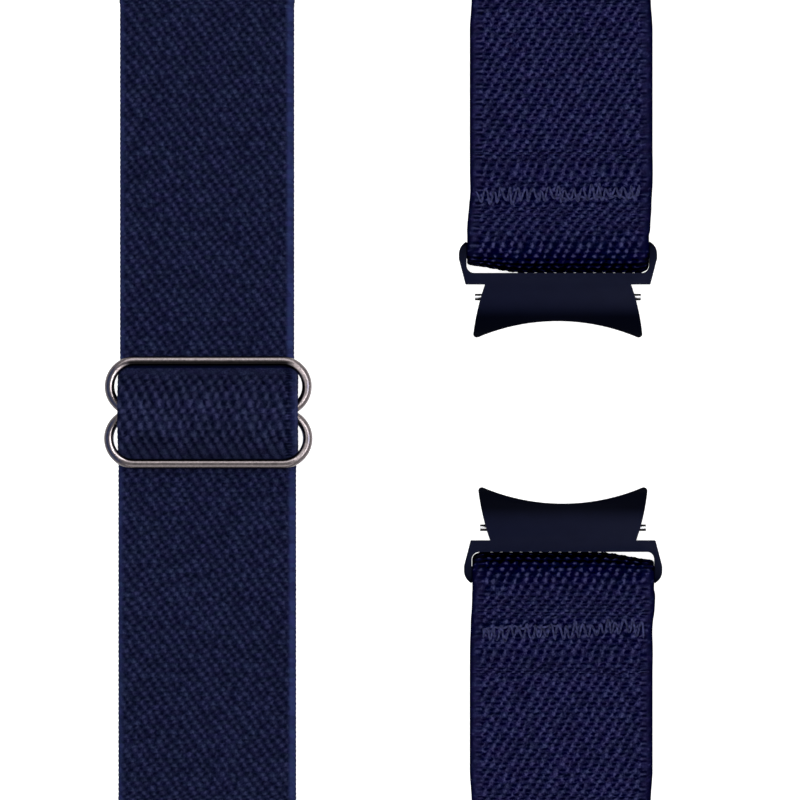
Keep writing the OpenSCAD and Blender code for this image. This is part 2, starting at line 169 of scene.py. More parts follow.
class StrapColours(bpy.types.PropertyGroup):
    # The pit colours of both webbings are partly the yarn's own and partly painted shade in the hollows
    # between the knots
    left_pit: colour("Left pits", "Between the knots of the left webbing", "070b22")
    left_mid: colour("Left webbing", "Body of the left webbing", "181c37")
    left_knot: colour("Left knots", "Tops of the left webbing's knots", "313555")
    left_edge: colour("Left selvedge", "Woven edge of the left webbing", "2b335e")
    right_pit: colour("Right pits", "Between the knots of the right webbing", "000120")
    right_mid: colour("Right webbing", "Body of the right webbing", "18193c")
    right_knot: colour("Right knots", "Tops of the right webbing's knots", "3e3f67")
    right_edge: colour("Right selvedge", "Woven edge of the right webbing", "1c1c3e")
    thread: colour("Thread", "Sewing thread", "3d4069")
    coating: colour("Coating", "Coating of the adapters", "0f1225")
    # Painted shade of the adapters, on their rounded edges and where their faces curve down
    coating_shade: colour("Deep coating", "Coating on the edges and the curved faces", "000109")
    wire: colour("Wire", "Nickel of the wire adjuster", "585253")
    steel: colour("Steel", "Spring bars", "dcdce0")


# Materials


def add(tree, kind, inputs=(), stops=(), **settings):
    """Adds a shader node with its settings and returns its outputs. Inputs are given in order or by
    name: a socket is linked, any other is set. stops are a colour ramp's (place, colour) stops."""
    made = tree.nodes.new("ShaderNode" + kind)
    for key, value in settings.items():
        setattr(made, key, value)
    for key, value in inputs.items() if isinstance(inputs, dict) else enumerate(inputs):
        if isinstance(value, bpy.types.NodeSocket):
            tree.links.new(value, made.inputs[key])
        else:
            made.inputs[key].default_value = value
    if stops:
        for place, _ in stops[1:-1]:
            made.color_ramp.elements.new(place)
        for element, (_, value) in zip(made.color_ramp.elements, stops):
            element.color = value
    return made.outputs


def new_material(name):
    material = bpy.data.materials.new(name)
    material.use_nodes = True
    tree = material.node_tree
    tree.nodes.clear()
    return material, tree


def knot_field(tree, place, lattice, radii, lean, offset, loose, fall=-1.0):
    """One soft knot in each cell of a slanted lattice, a little out of place. Returns its height and
    a colour of its own. radii are in mm, along and across the lean; fall is how fast it falls off."""
    pitch, row, shift = lattice
    c, s = math.cos(lean), math.sin(lean)
    middle = (loose / 2 - offset[0], loose / 2 - offset[1], 0)
    moved = add(tree, "VectorMath", (place, middle), operation="ADD")[0]
    cell = add(
        tree, "TexVoronoi", {"Vector": moved, "Scale": 1.0, "Randomness": loose},
        voronoi_dimensions="2D", feature="F1",
    )
    away = add(tree, "VectorMath", (moved, cell["Position"]), operation="SUBTRACT")[0]
    along = (pitch * c / radii[0], (shift * c + row * s) / radii[0], 0)
    across = (-pitch * s / radii[1], (row * c - shift * s) / radii[1], 0)
    parts = [
        add(tree, "VectorMath", (away, way), operation="DOT_PRODUCT")["Value"]
        for way in (along, across)
    ]
    squared = add(tree, "Math", (parts[1], parts[1]), operation="MULTIPLY")[0]
    squared = add(tree, "Math", (parts[0], parts[0], squared), operation="MULTIPLY_ADD")[0]
    falling = add(tree, "Math", (squared, fall), operation="MULTIPLY")[0]
    return add(tree, "Math", (falling,), operation="EXPONENT")[0], cell["Color"]


def woven_nylon(name, side, colours):
    """Matt elastic webbing of dyed nylon: no gloss, fine fibres on its knots, and dark between them,
    partly the yarn's own colour and partly painted shade in the hollows. The weave attribute tells how
    strong the knots are, how much selvedge shows, how tight the weave is and how dark; the last two
    carry painted shade, and the darkness painted light as well."""
    lattice, level, knot, gap, fray = YARNS[side]
    dyes = ("_pit", "_mid", "_knot", "_edge")
    pit, mid, top, selvedge = (getattr(colours, side + dye) for dye in dyes)
    material, tree = new_material(name)
    place = add(tree, "Attribute", attribute_name="lattice")["Vector"]
    weave = add(tree, "Attribute", attribute_name="weave")
    strength, band, tight = add(tree, "SeparateColor", (weave["Color"],))
    spot = add(tree, "TexCoord")["Object"]
    slack = add(tree, "TexNoise", {"Vector": spot, "Scale": 1700.0, "Detail": 1.0})["Color"]
    slack = add(tree, "VectorMath", (slack, (-0.5, -0.5, -0.5)), operation="ADD")[0]
    slack = add(tree, "VectorMath", {0: slack, "Scale": 0.4}, operation="SCALE")[0]
    place = add(tree, "VectorMath", (place, slack), operation="ADD")[0]
    fibre = add(tree, "TexNoise", {"Vector": spot, "Scale": 5000.0, "Detail": 3.0})[0]
    dye = add(tree, "TexNoise", {"Vector": spot, "Scale": 700.0, "Detail": 2.0})[0]
    fall = add(tree, "Math", (tight, 0.45, -1.0), operation="MULTIPLY_ADD")[0]
    knots_up, own = knot_field(tree, place, lattice, knot[1], knot[2], (0, 0), knot[3], fall)
    gaps, _ = knot_field(tree, place, lattice, gap[1], gap[2], (100.5, 0.12), gap[3])
    gaps = add(tree, "Math", (gaps, -gap[0]), operation="MULTIPLY")[0]
    weight = add(tree, "Math", (tight, 0.75, knot[0]), operation="MULTIPLY_ADD")[0]
    pattern = add(tree, "Math", (knots_up, weight, gaps), operation="MULTIPLY_ADD")[0]
    # Painted shade: where the weave is drawn tight the whole of it is lowered, while its knots grow
    lowered = add(tree, "Math", (tight, -0.5, level), operation="MULTIPLY_ADD")[0]
    pattern = add(tree, "Math", (pattern, strength, lowered), operation="MULTIPLY_ADD")[0]
    plainer = add(tree, "Math", (band, 0.75), operation="MULTIPLY")[0]
    plain = add(tree, "Mix", {"Factor": plainer, "A": pattern, "B": 0.42})[0]
    # The weave's darkness: the selvedge's lines, with painted shade and painted light
    lined = add(tree, "Math", (weave["Alpha"], -0.6, plain), operation="MULTIPLY_ADD")[0]
    hairs = add(tree, "Math", (fibre, 0.5), operation="SUBTRACT")[0]
    rough = add(tree, "Math", (hairs, fray, lined), operation="MULTIPLY_ADD")[0]
    depth = add(tree, "Math", (rough, 0.5, 0.5), operation="MULTIPLY_ADD")[0]
    # The black stop is painted shade, reached where an end turns round its crossbar
    stops = ((0.0, (0, 0, 0, 1)), (0.2, pit), (0.53, pit), (0.71, mid), (1.0, top))
    lit = add(tree, "ValToRGB", (depth,), stops)["Color"]
    band = add(tree, "Math", (band, 0.8), operation="MULTIPLY")[0]
    edge = add(tree, "Mix", {"Factor": band, "A": lit, "B": selvedge}, data_type="RGBA")[2]
    own = add(tree, "SeparateColor", (own,))
    tone = add(tree, "MapRange", {"Value": own[0], "To Min": 0.78, "To Max": 1.22})[0]
    tinted = add(tree, "VectorMath", {0: edge, "Scale": tone}, operation="SCALE")[0]
    hue = add(tree, "Math", (own[1], dye), operation="ADD")[0]
    hue = add(tree, "Math", (hue, 0.014, 0.486), operation="MULTIPLY_ADD")[0]
    shade = add(tree, "HueSaturation", {"Color": tinted, "Hue": hue})[0]
    bump = add(tree, "Bump", {"Height": rough, "Strength": 0.7, "Distance": 0.0001})[0]
    looks = {"Base Color": shade, "Roughness": 1.0, "Normal": bump, "Specular IOR Level": 0.0}
    add(tree, "OutputMaterial", (add(tree, "BsdfPrincipled", looks)[0],))
    return material


def spun_thread(name, value):
    """Bonded polyester sewing thread: a little smoother than the webbing, with its twist, and darker in
    random stretches, a painted shade for where it dips into the weave."""
    material, tree = new_material(name)
    place = add(tree, "TexCoord")["Object"]
    twist = add(
        tree, "TexWave", {"Vector": place, "Scale": 900.0, "Distortion": 6.0},
        bands_direction="DIAGONAL",
    )["Fac"]
    # Painted shade in random stretches along the thread
    sunk = add(tree, "TexNoise", {"Vector": place, "Scale": 1500.0, "Detail": 2.0})[0]
    both = add(tree, "Math", (twist, 0.4, -0.7), operation="MULTIPLY_ADD")[0]
    both = add(tree, "Math", (sunk, 2.0, both), operation="MULTIPLY_ADD")[0]
    bright = add(tree, "MapRange", {"Value": both, "To Min": 0.25, "To Max": 1.2})[0]
    tinted = add(tree, "VectorMath", {0: value[:3], "Scale": bright}, operation="SCALE")[0]
    looks = {"Base Color": tinted, "Roughness": 0.7, "Specular IOR Level": 0.03}
    add(tree, "OutputMaterial", (add(tree, "BsdfPrincipled", looks)[0],))
    return material


def polished_metal(name, value, flank_shade, roughness, mark_scale):
    """Polished nickel or steel: fine draw marks, and a painted shade down its flanks, which keep the
    given fraction of their colour. The attribute of painted reflection takes from each colour, a painted
    reflection of the dark webbing, and adds a painted highlight where it is below 0. A mesh without it
    loses nothing."""
    material, tree = new_material(name)
    coords = add(tree, "TexCoord")
    up = add(tree, "SeparateXYZ", (coords["Normal"],))["Z"]
    marks = add(tree, "TexNoise", {"Vector": coords["Object"], "Scale": mark_scale, "Detail": 4.0})[0]
    # Painted shade: faces that turn from straight up fall to the given fraction of the colour
    top = add(
        tree, "MapRange", {"Value": up, "From Min": 0.93, "From Max": 0.99, "To Min": flank_shade},
        interpolation_type="SMOOTHSTEP",
    )[0]
    worn = add(
        tree, "MapRange",
        {"Value": marks, "From Min": 0.3, "From Max": 0.7, "To Min": 0.72, "To Max": 1.2},
    )[0]
    both = add(tree, "Math", (top, worn), operation="MULTIPLY")[0]
    tinted = add(tree, "VectorMath", {0: value[:3], "Scale": both}, operation="SCALE")[0]
    # Painted reflection of the dark webbing and painted highlights, from the mesh's attribute
    lost = add(tree, "Attribute", attribute_name="lost_gleam")["Vector"]
    kept = add(tree, "VectorMath", ((1, 1, 1), lost), operation="SUBTRACT")[0]
    tinted = add(tree, "VectorMath", (tinted, kept), operation="MULTIPLY")[0]
    gloss = add(
        tree, "MapRange", {"Value": marks, "To Min": roughness * 0.7, "To Max": roughness * 1.5}
    )[0]
    bump = add(tree, "Bump", {"Height": marks, "Strength": 0.6, "Distance": 0.00001})[0]
    looks = {"Base Color": tinted, "Metallic": 1.0, "Roughness": gloss, "Normal": bump}
    add(tree, "OutputMaterial", (add(tree, "BsdfPrincipled", looks)[0],))
    return material


def satin_coating(name, value, deep, heights):
    """Satin vapour coating on blasted steel: dark and even, with a painted shade that takes it to the
    shade colour below the given heights, where a face curves down.
    """
    material, tree = new_material(name)
    place = add(tree, "TexCoord")["Object"]
    z = add(tree, "SeparateXYZ", (place,))["Z"]
    grain = add(tree, "TexNoise", {"Vector": place, "Scale": 6000.0, "Detail": 2.0})[0]
    cloud = add(tree, "TexNoise", {"Vector": place, "Scale": 500.0, "Detail": 3.0})[0]
    # Painted shade: below the given heights the colour turns to the shade colour
    high = add(
        tree, "MapRange", {"Value": z, "From Min": heights[0], "From Max": heights[1]},
        interpolation_type="SMOOTHSTEP",
    )[0]
    depth = add(tree, "Mix", {"Factor": high, "A": deep, "B": value}, data_type="RGBA")[2]
    level = add(tree, "MapRange", {"Value": cloud, "To Min": 0.85, "To Max": 1.15})[0]
    tinted = add(tree, "VectorMath", {0: depth, "Scale": level}, operation="SCALE")[0]
    bump = add(tree, "Bump", {"Height": grain, "Strength": 0.3, "Distance": 0.00001})[0]
    looks = {"Base Color": tinted, "Roughness": 0.45, "Normal": bump, "Specular IOR Level": 0.01}
    add(tree, "OutputMaterial", (add(tree, "BsdfPrincipled", looks)[0],))
    return material


def seen_directly(tree):
    """1 for what the camera sees, in metal and glass too, and 0 for what only lights the object."""
    rays = add(tree, "LightPath")
    seen = add(tree, "Math", (rays["Is Camera Ray"], rays["Is Glossy Ray"]), operation="MAXIMUM")
    both = (seen[0], rays["Is Transmission Ray"])
    return add(tree, "Math", both, operation="MAXIMUM")[0]


# Paths of the webbing, seen from the side


def step(a, za, b, zb, flat=0.2, count=60):
    """Points of a smooth step between two heights, level for a short way at both ends."""
    c, d = a + math.copysign(flat, b - a), b - math.copysign(flat, b - a)
    t = np.linspace(0, 1, count)
    rise = za + (zb - za) * (1 - np.cos(np.pi * t)) / 2
    return [(a, za)] + list(zip(c + (d - c) * t, rise)) + [(b, zb)]


def half_turn(z, radius, start, count=40):
    """Points of a half turn backwards round (0, z), from an angle in degrees."""
    t = np.radians(np.linspace(start, start - 180, count))
    return list(zip(radius * np.cos(t), z + radius * np.sin(t)))


class Path:
    """The inner face of a length of webbing as (y, z) points; the webbing lies on its left."""

    def __init__(self, points):
        p = np.array(points, float)
        p = p[np.r_[True, np.linalg.norm(np.diff(p, axis=0), axis=1) > 1e-6]]
        d = np.diff(p, axis=0)
        self.p = p
        self.s = np.r_[0, np.cumsum(np.linalg.norm(d, axis=1))]
        self.mid = (self.s[1:] + self.s[:-1]) / 2
        self.angle = np.unwrap(np.arctan2(d[:, 1], d[:, 0]))
        self.length = self.s[-1]

    def at(self, s):
        a = np.interp(s, self.mid, self.angle)
        y = np.interp(s, self.s, self.p[:, 0])
        z = np.interp(s, self.s, self.p[:, 1])
        return y, z, -np.sin(a), np.cos(a)

    def moved(self, distance):
        """The points of the path moved to its left."""
        y, z, ny, nz = self.at(self.s)
        return list(zip(y + distance * ny, z + distance * nz))


COLUMN_RAMP = step(RAMP_Y, 0, FOLD_Y, LEVEL)
TAIL_RAMP = [p for p in Path(COLUMN_RAMP).moved(LEVEL) if p[0] < TAIL_END_Y]
UPPER_COLUMN = Path([(MIDDLE_Y + HUMP_HALF, 0)] + COLUMN_RAMP)
LOWER_COLUMN = Path([(-MIDDLE_Y + HUMP_HALF, 0)] + COLUMN_RAMP)
FREE_TAIL = Path([(MIDDLE_Y + HUMP_HALF, LEVEL)] + TAIL_RAMP + [(TAIL_END_Y, TAIL_RAMP[-1][1])])
UPPER_RUN = Path([(UPPER_END[1] + END_LEN, 0)] + COLUMN_RAMP)
LOWER_RUN = Path([(-LOWER_END[1] + END_LEN, 0)] + COLUMN_RAMP)
OVER_SLIDER = Path(
    [(-HUMP_HALF, 0)]
    + step(-HUMP_START, 0, -HUMP_FLAT, HUMP_TOP)
    + step(HUMP_FLAT, HUMP_TOP, PASS_Y, LEVEL)
    + [(HUMP_HALF, LEVEL)]
)
LOOP_RISE_Z = SLIDER_Z - LOOP_IN_R - WEB_T


def rise_z(y):
    """Height of the layer that rises to the centre bar, y mm from it."""
    return LOOP_RISE_Z * (1 - math.cos(math.pi * (PASS_Y - y) / PASS_Y)) / 2


RISE = Path([(HUMP_HALF, 0)] + step(PASS_Y, 0, 0, LOOP_RISE_Z))
FLAP_Z = LEVEL + rise_z(FLAP_LEN)
LOOP_TOP = SLIDER_Z + LOOP_IN_R
FLAP = [
    (FLAP_LEN * t, LOOP_TOP - (LOOP_TOP - FLAP_Z) * (1 - math.cos(math.pi / 2 * t)))
    for t in np.linspace(0, 1, 40)
]
SLIDER_LOOP = Path(RISE.moved(-WEB_T) + half_turn(SLIDER_Z, LOOP_IN_R, 270) + FLAP)
END_FRONT = Path(
    step(-END_LEN, 0, -END_FLAP, LEVEL) + step(-SEW_START, LEVEL, 0, BAR_Z + WRAP_R)
)
WRAP_START = END_FRONT.length
WRAP_LEN = math.pi * WRAP_R
END_LOOP = Path(list(END_FRONT.p) + half_turn(BAR_Z, WRAP_R, 90) + [(-END_FLAP, WEB_T)])


def soft(low, high, value):
    """Smooth step from 0 at low to 1 at high."""
    t = np.clip((value - low) / (high - low), 0, 1)
    return t * t * (3 - 2 * t)


def hill(value, half_width):
    """A soft hill, 1 where value is 0 and 0.37 at half_width to each side."""
    return np.exp(-((value / half_width) ** 2))


# Weave of the webbing. A lattice is (pitch across, row along, shift to one side from row to row), mm.

LEFT_LATTICE = (1.29, 0.613, -0.428)
RIGHT_LATTICE = (1.265, 0.655, 0.406)
OVER_ROW = 0.72

# Each side's lattice, the shade between its knots and gaps, both as (weight, radii, lean, loose), and
# how much fibres break them up. The gaps are faint pits at the left and black dashes at the right.
YARNS = {
    "left": (LEFT_LATTICE, 0.29, (0.5, (0.26, 0.3), 2.18, 0.33), (0.3, (0.26, 0.18), 0.3, 0.33), 1.0),
    "right": (
        RIGHT_LATTICE, 0.37, (0.52, (0.27, 0.22), 1.1, 0.36), (0.95, (0.28, 0.12), 0.12, 0.34), 1.25
    ),
}


def bumps(p, r, lattice, radii, lean):
    """Height of soft knots at the whole numbers of the lattice's own coordinates p and r."""
    pitch, row, shift = lattice
    tx, ty = math.cos(lean), math.sin(lean)
    height = np.zeros_like(p)
    for offset in (-1, 0, 1):
        dr = r - np.round(r) - offset
        q = p + shift / pitch * dr
        du, dv = pitch * (q - np.round(q)), row * dr
        along, across = du * tx + dv * ty, dv * tx - du * ty
        height += np.exp(-((along / radii[0]) ** 2) - (across / radii[1]) ** 2)
    return np.clip(height, 0, 1.2)


def on_lattice(u, r, lattice):
    """The lattice's own coordinates of a place u mm across and r rows along."""
    return u / lattice[0] - lattice[2] / lattice[0] * r, r


# Rows of the left column, counted from its lower end, which stand wider over the adjuster
LEFT_Y = np.linspace(-90, 90, 3601)
LEFT_ROWS = np.cumsum(
    (LEFT_Y[1] - LEFT_Y[0])
    / (LEFT_LATTICE[1] + (OVER_ROW - LEFT_LATTICE[1]) * soft(7.0, 5.0, np.abs(LEFT_Y - MIDDLE_Y)))
)


def left_weave(u, y, width):
    """Round knots in ridges that lean to the left. Returns their height, the lattice's coordinates,
    and how strong the knots are, how much selvedge shows and how dark the weave is."""
    p, r = on_lattice(u, np.interp(y, LEFT_Y, LEFT_ROWS), LEFT_LATTICE)
    v = y - MIDDLE_Y
    # Over the adjuster the bend opens the weave, and it is drawn into ridges towards the lower bar
    over = soft(6.9, 6.1, np.abs(v))
    opened = soft(4.7, 3.2, v) * soft(-4.6, -2.2, v)
    ridged = over * soft(-1.0, -4.4, v)
    strength = 1 - over * (0.7 - 0.1 * ridged - 1.05 * opened)
    inside = width / 2 - np.abs(u)
    edge = 1 - soft(0.6, 1.2, inside + 0.35 * (u < 0))
    # Beads along the selvedges, and over the adjuster short dashes along the right one
    bead = 1.9
    beads = np.cos(2 * np.pi * (y + 0.5 * np.sign(u)) / bead) * (1 + 0.5 * np.sin(0.7 * y))
    dash = 0.375
    dashes = hill(((v / dash) % 1 - 0.5) * dash, 0.1)
    dashes *= soft(0.6, 0.8, inside) * soft(1.8, 1.4, inside) * over * (u > 0)
    lines = 0.4 * edge * (0.5 + 0.5 * beads) * (1 - over) + dashes
    lines -= 1.3 * soft(0.55, 0.1, inside) * over * (u > 0)
    between = ((p + 0.03 * np.sin(5 * u)) % 1 - 0.5) * LEFT_LATTICE[0]
    drawn = hill(between, 0.17) * ridged * (1 - edge)
    knot = bumps(p, r, LEFT_LATTICE, (0.36, 0.3), 2.2)
    pit = bumps(p - 0.5, r - 0.12, LEFT_LATTICE, (0.27, 0.22), 0.3)
    ribs = 0.2 * edge * np.cos(2 * np.pi * y / LEFT_LATTICE[1])
    lift = (knot - 0.8 * pit - 0.4) * strength * (1 - edge) + ribs - 0.25 * lines - 0.6 * drawn
    band = np.where(u > 0, edge * (1 - 0.6 * over), 0.55 * edge * (1 - over))
    # Painted light over the adjuster, where the hump's slopes would fall dark, most on its lower part
    # and less where the weave opens, and a painted shadow just under the top bar
    painted_light_and_shadow = 0.32 + 0.14 * ridged - 0.2 * opened - 1.4 * soft(5.0, 6.1, v)
    return lift, (p, r), (strength, band, lines + 0.6 * drawn - painted_light_and_shadow * over)


def right_weave(u, v, width):
    """Knots that lean to the right, with short dark dashes between them and pairs of lines along the
    edges. Returns what left_weave returns."""
    p, r = on_lattice(u, v / RIGHT_LATTICE[1], RIGHT_LATTICE)
    inside = width / 2 - np.abs(u)
    edge = 1 - soft(1.1, 1.7, inside)
    pair = 1.96
    t = np.abs(((v + 0.3 * np.sign(u)) / pair) % 1 - 0.5) * pair
    lines = 1.3 * hill(t - 0.29, 0.11) * (0.8 + 0.3 * np.sin(2.3 * v))
    lines -= 0.8 * hill(t, 0.13)
    lines += 0.3 * np.cos(2 * np.pi * v / RIGHT_LATTICE[1] + 1.5 * np.sign(u))
    lines *= soft(1.75, 1.4, inside) * soft(0.65, 0.95, inside)
    knot = bumps(p, r, RIGHT_LATTICE, (0.28, 0.25), 1.0)
    dash = bumps(p - 0.5, r - 0.12, RIGHT_LATTICE, (0.31, 0.13), 0.2)
    ribs = 0.2 * edge * soft(0.1, 0.7, inside) * np.cos(2 * np.pi * v / RIGHT_LATTICE[1])
    lift = (0.7 * knot - dash - 0.2) * (1 - edge) + ribs - 0.5 * lines
    # Painted shade darkens the webbing towards both edges, over a wider band on the right, on top of the
    # selvedge's lines
    dark = lines + 1 - soft(0.04, np.where(u > 0, 1.0, 0.8), inside)
    return lift, (p, r), (1.0 + 0 * u, edge * (0.7 - 0.6 * np.clip(dark, 0, 1)), dark)


# Sheets


def closed_mesh(name, grid):
    """A mesh from rows of closed loops of points in mm, (rows, loop, 3), with both ends closed."""
    rows, loop, _ = grid.shape
    index = np.arange(rows * loop).reshape(rows, loop)
    a, b = index[:-1], index[1:]
    quads = np.stack([a, np.roll(a, -1, 1), np.roll(b, -1, 1), b], -1).reshape(-1, 4)
    corners = np.concatenate([quads.ravel(), index[0][::-1], index[-1]])
    starts = np.r_[np.arange(len(quads) + 1) * 4, len(quads) * 4 + loop]
    mesh = bpy.data.meshes.new(name)
    mesh.vertices.add(rows * loop)
    mesh.vertices.foreach_set("co", (grid * MM).astype(np.float32).ravel())
    mesh.loops.add(len(corners))
    mesh.loops.foreach_set("vertex_index", corners.astype(np.int32))
    mesh.polygons.add(len(starts))
    mesh.polygons.foreach_set("loop_start", starts.astype(np.int32))
    smooth = np.arange(len(starts)) < len(quads)
    mesh.update(calc_edges=True)
    mesh.polygons.foreach_set("use_smooth", smooth)
    mesh.validate()
    if signed_volume(mesh) < 0:
        mesh.flip_normals()
    made = bpy.data.objects.new(name, mesh)
    bpy.context.scene.collection.objects.link(made)
    return made


def put_attribute(made, name, *values):
    """Gives each point of a mesh a vector of three values or a colour of four, for its material."""
    kind, key = ("FLOAT_COLOR", "color") if len(values) == 4 else ("FLOAT_VECTOR", "vector")
    attribute = made.data.attributes.new(name, kind, "POINT")
    attribute.data.foreach_set(key, np.stack(values, -1).astype(np.float32).ravel())


def signed_volume(mesh):
    """Six times a closed mesh's volume, below 0 where its faces point inwards."""
    mesh.calc_loop_triangles()
    co = np.zeros(len(mesh.vertices) * 3)
    mesh.vertices.foreach_get("co", co)
    tri = np.zeros(len(mesh.loop_triangles) * 3, np.int32)
    mesh.loop_triangles.foreach_get("vertices", tri)
    a, b, c = co.reshape(-1, 3)[tri.reshape(-1, 3)].transpose(1, 0, 2)
    return float(np.einsum("ij,ij->i", a, np.cross(b, c)).sum())


def woven_sheet(name, place, length, width, weave, v_at, relief, cell=LEFT_CELL, fade=None):
    """A closed sheet of webbing. place(u, s, h) gives x, y, z in mm, for a distance u across from the
    centre line, s along it and h above the inner face; width(s) is its width, and v_at(s) the place
    along the weave. fade(u, s) tells how tight the weave is drawn there and how deep the painted shade
    is."""
    rows = max(3, round(length / cell[1]) + 1)
    s = np.linspace(0, length, rows)[:, None]
    half = width(s) / 2
    columns = max(8, round(2 * float(half.max()) / cell[0]))
    across = np.linspace(-1, 1, columns + 1)
    arc = np.radians(np.linspace(90, -90, 8)[1:-1])
    back = across[::-2]
    inset, bulge = half - SHEET_EDGE_R, SHEET_EDGE_R * np.cos(arc)
    u = np.concatenate([across * inset, inset + bulge, back * inset, -inset - bulge], 1)
    lean_u = np.r_[across * 0, np.cos(arc), back * 0, -np.cos(arc)][None, :]
    lean_h = np.r_[across * 0 + 1, np.sin(arc), back * 0 - 1, -np.sin(arc)][None, :]
    h = WEB_T / 2 + (WEB_T / 2 - SHEET_MARGIN) * lean_h
    ss, hh = np.broadcast_to(s, u.shape), np.broadcast_to(h, u.shape)
    lift, lattice, looks = weave(u, v_at(ss), 2 * half)
    tight, shade = (0 * u, 0) if fade is None else fade(u, ss)
    lift = lift * relief / MM
    x, y, z = place(u + lift * lean_u, ss, hh + lift * lean_h)
    made = closed_mesh(name, np.stack([x, y, z], -1))
    put_attribute(made, "lattice", *lattice, 0 * u)
    strength, band, dark = looks
    # Painted shade where an end turns round its crossbar, deepest between the rows of knots, and darker
    # row lines where the weave is drawn tight; there the selvedge's tint fades too
    dark = dark + 1.15 * shade - (0.25 * tight + shade) * np.cos(2 * np.pi * lattice[1])
    put_attribute(made, "weave", strength, band * (1 - 0.85 * tight), tight, dark)
    return made


def in_column(path, x, up=True):
    """Lays a sheet along a path in a column; the lower half mirrors the upper one."""
    sign = 1 if up else -1

    def place(u, s, h):
        y, z, ny, nz = path.at(s)
        return x + u, sign * (y + h * ny), z + h * nz

    return place


def at_end(up):
    """Lays a sheet round an adapter's crossbar, thinner on the side where the slot shows open."""
    (cx, cy), sign = (UPPER_END, -1) if up else (LOWER_END, 1)

    def place(u, s, h):
        y, z, ny, nz = END_LOOP.at(s)
        centre = cx + (RUN_X - cx) * soft(-1.8, -8.5, y)
        centre += EAR_SHIFT * soft(-1.5, -2.6, y) * soft(-6.5, -4.5, y)
        bend = soft(-0.6, 1.4, s - WRAP_START) * soft(0.6, -1.4, s - WRAP_START - WRAP_LEN)
        full = soft(-12.6, -4.0, -sign * u) * (1 - 0.35 * soft(10.2, 11.9, -sign * u))
        thick = h * (1 + bend * (0.93 * full - 0.4))
        return centre + u, cy + sign * (y + thick * ny), z + thick * nz

    return place


def at_fold(x, right, up):
    """Folds a sheet over at 45 degrees, from the top of its column into the row below."""
    root = math.sqrt(2)

    def place(u, s, h):
        out = WEB_W / 2 - u if right else WEB_W / 2 + u
        n, p = (s - out) / root, (s + out) / root
        r = FOLD_R + h - WEB_T / 2
        turn = np.clip(n / FOLD_R, 0, np.pi)
        bent = r * np.sin(turn)
        n_new = np.where(n <= 0, n, np.where(n >= np.pi * FOLD_R, np.pi * FOLD_R - n, bent))
        z = LEVEL / 2 + WEB_T / 2 + r * np.cos(turn)
        dx, dy = (p - n_new) / root, (p + n_new) / root
        px = x + WEB_W / 2 - dx if right else x - WEB_W / 2 + dx
        return px, (FOLD_Y + dy) * (1 if up else -1), z

    return place


def in_row(up):
    """Lays a sheet, face down, in the row that joins the columns."""
    start = LEFT_X + WEB_W / 2 + FOLD_SHIFT

    def place(u, s, h):
        y = FOLD_Y + FOLD_SHIFT + WEB_W / 2 + u
        return start + s, (y if up else -y), WEB_T - h

    return place


def finish_piece(made, material, node):
    """Gives a piece its material and slot, and hides the solid of the node that it stands for."""
    made.data.materials.append(material)
    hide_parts(node)


def thread(name, points, radius, sides=8):
    """A thread along points in mm, as a closed tube; a radius for each point, or one for all."""
    p = np.array(points, float)
    t = np.gradient(p, axis=0)
    t /= np.linalg.norm(t, axis=1)[:, None]
    side = np.cross(t, (0, 0, 1))
    side /= np.linalg.norm(side, axis=1)[:, None]
    top = np.cross(side, t)
    a = np.linspace(0, 2 * np.pi, sides, endpoint=False)
    ring = np.cos(a)[None, :, None] * side[:, None] + np.sin(a)[None, :, None] * top[:, None]
    return closed_mesh(name, p[:, None] + np.broadcast_to(radius, len(p))[:, None, None] * ring)


def tightness_and_shade(u, s):
    """How tight an end is drawn round its crossbar and at its seam, which darkens it as painted shade,
    and how deep the painted shade is where it turns round the crossbar.
    """
    t = s - WRAP_START
    seam = END_LOOP.at(s)[0] + SEW_START + 1.45 + 0.33 * u / WEB_W * 2
    seam = hill(seam, 1.2) * (t < 0)
    below = soft(4.4, 3.0, t)
    shade = 1.2 * soft(0.05, 0.85, t) + 1.8 * soft(0.8, 1.4, t)
    return soft(-2.4, 1.8, t) * below + 0.45 * seam, shade * below


def lost_gleam(x, y):
    """Painted reflection and painted highlights on the wire: what it loses of each colour, for places in
    mm from the adjuster's middle. It paints the dark webbing's reflection on the bars' inner third, and
    on the bends a painted highlight line, a painted dark inner edge and a painted navy reflection. out
    goes from -1 inside a ring to 1 outside, (cx, cy) is the way out, and slant is 1 on diagonals."""
    half = np.where(y > 0, TOP_HALF, LOW_HALF)
    away_x, away_y = x - np.clip(x, -half, half), y - np.sign(y) * RING_Y
    away = np.hypot(away_x, away_y)
    out, cx, cy = (away - RING_R) / WIRE_R, away_x / away, away_y / away
    left, slant = cx < 0, 2 * np.abs(cx * cy)
    on_bar = 1 - 0.94 * soft(0.05, 0.5, 0.3 * cy - out)
    left_painted_highlight = (0.9 + 6 * slant**4) * hill(out + 0.4, 0.2)
    right_painted_highlight = (2.9 + 2 * slant**4) * hill(out + 0.2 - 0.1 * slant, 0.17 + 0.15 * slant)
    right_painted_highlight += 0.8 * soft(0.4, 0.8, out) - 0.5 * hill(out - 0.22, 0.18) * (1 - 0.5 * slant)
    on_end = np.where(left, soft(-1.0, -0.7, out), soft(-0.9, -0.45, out))
    on_end *= 1 + np.where(left, left_painted_highlight, right_painted_highlight)
    on_end *= 1 - 0.93 * left * (1 - soft(0.5, 0.85, cy)) * hill(out - 0.35, 0.25)
    bent = soft(0.2, 0.7, np.abs(cx))
    kept = on_bar + (on_end - on_bar) * bent
    painted_navy = (1 - np.clip(kept, 0, 1)) * bent
    return [1 - (kept + share * painted_navy) for share in (0.1, 0.25, 0.8)]


# Operators


class StrapOperator(bpy.types.Operator):
    bl_options = {"REGISTER", "UNDO"}

    def execute(self, context):
        for item in context.selected_objects:
            item.select_set(False)
        self.build(context.scene.strap_sizes, context.scene.strap_colours)
        return {"FINISHED"}


